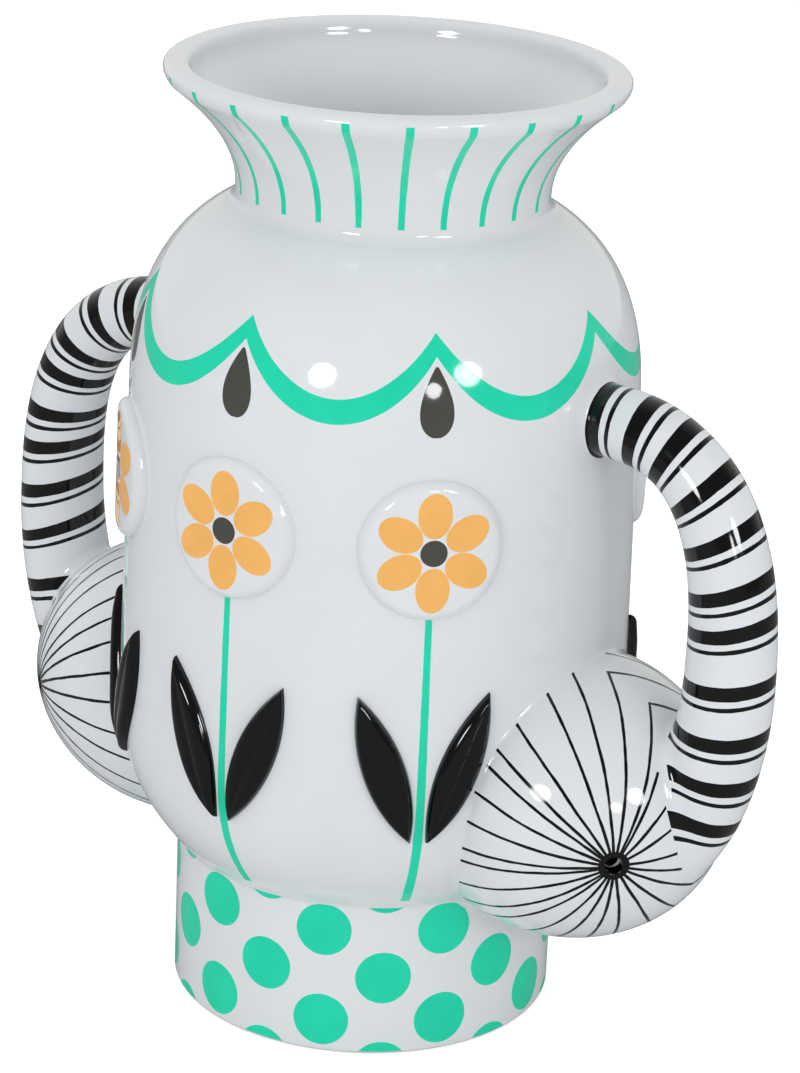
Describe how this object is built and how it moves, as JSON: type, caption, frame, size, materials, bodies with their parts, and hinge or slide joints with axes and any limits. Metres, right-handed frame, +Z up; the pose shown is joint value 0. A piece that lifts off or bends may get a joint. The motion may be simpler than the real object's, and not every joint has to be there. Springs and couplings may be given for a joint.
{
  "type": "handled vase",
  "caption": "Tall glazed ceramic vase on a drum foot, with a flared collar, arched side handles that run down into domed bulbs, and raised flower bosses and leaves round its body.",
  "frame": {"origin": "centre of the foot ring on the surface that the vase stands on", "axes": "+Z up through the mouth, front towards -Y, handles at +X and -X"},
  "size_m": [0.4304, 0.2546, 0.46],
  "materials": {
    "white_glaze": "gloss",
    "dotted_glaze": "gloss",
    "lined_glaze": "gloss",
    "striped_glaze": "gloss",
    "radiating_glaze": "gloss",
    "flower_glaze": "gloss",
    "black_glaze": "gloss"
  },
  "bodies": {
    "root": {"foot_drum": "dotted_glaze", "base_floor": "white_glaze", "body_shell": "white_glaze", "neck_collar": "lined_glaze", "right_handle": "striped_glaze", "left_handle": "striped_glaze", "right_bulb": "radiating_glaze", "left_bulb": "radiating_glaze", "front_boss_left": "flower_glaze", "front_boss_centre": "flower_glaze", "front_boss_right": "flower_glaze", "rear_boss_left": "flower_glaze", "rear_boss_centre": "flower_glaze", "rear_boss_right": "flower_glaze", "front_leaf_1": "black_glaze", "front_leaf_2": "black_glaze", "front_leaf_3": "black_glaze", "front_leaf_4": "black_glaze", "front_leaf_5": "black_glaze", "front_leaf_6": "black_glaze", "rear_leaf_1": "black_glaze", "rear_leaf_2": "black_glaze", "rear_leaf_3": "black_glaze", "rear_leaf_4": "black_glaze", "rear_leaf_5": "black_glaze", "rear_leaf_6": "black_glaze"}
  },
  "joints": []
}
